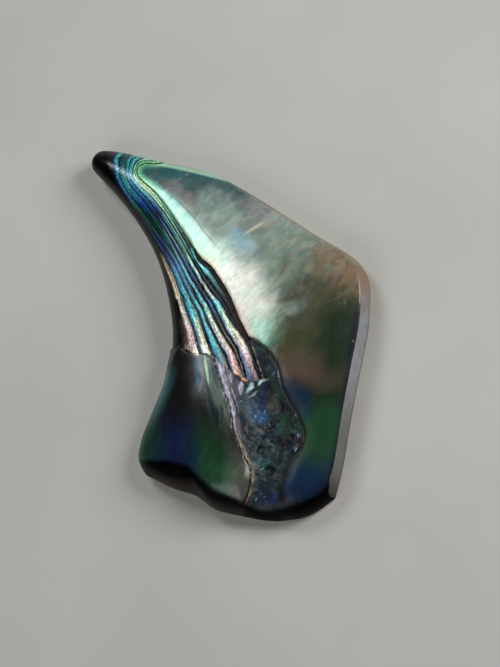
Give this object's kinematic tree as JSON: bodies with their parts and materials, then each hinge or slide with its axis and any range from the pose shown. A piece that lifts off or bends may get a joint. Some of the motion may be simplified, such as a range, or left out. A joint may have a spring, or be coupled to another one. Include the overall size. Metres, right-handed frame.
{
  "type": "polished abalone shell piece",
  "caption": "Thick hooked piece of abalone shell with a polished iridescent face, layered flank, rough groove and flat lapped back; a display or inlay piece.",
  "frame": {"origin": "middle of the bounding box's base, on the lapped back", "axes": "+Z away from the lapped back towards the polished face, +Y from the broad foot towards the hooked tip, +X towards the sawn side"},
  "size_m": [0.0438, 0.0626, 0.0078],
  "materials": {
    "nacre": "polished nacre, iridescent from cream and pink to green and deep blue, nearly black along the rolled edges"
  },
  "bodies": {
    "root": {"abalone_shell": "nacre"}
  },
  "joints": []
}
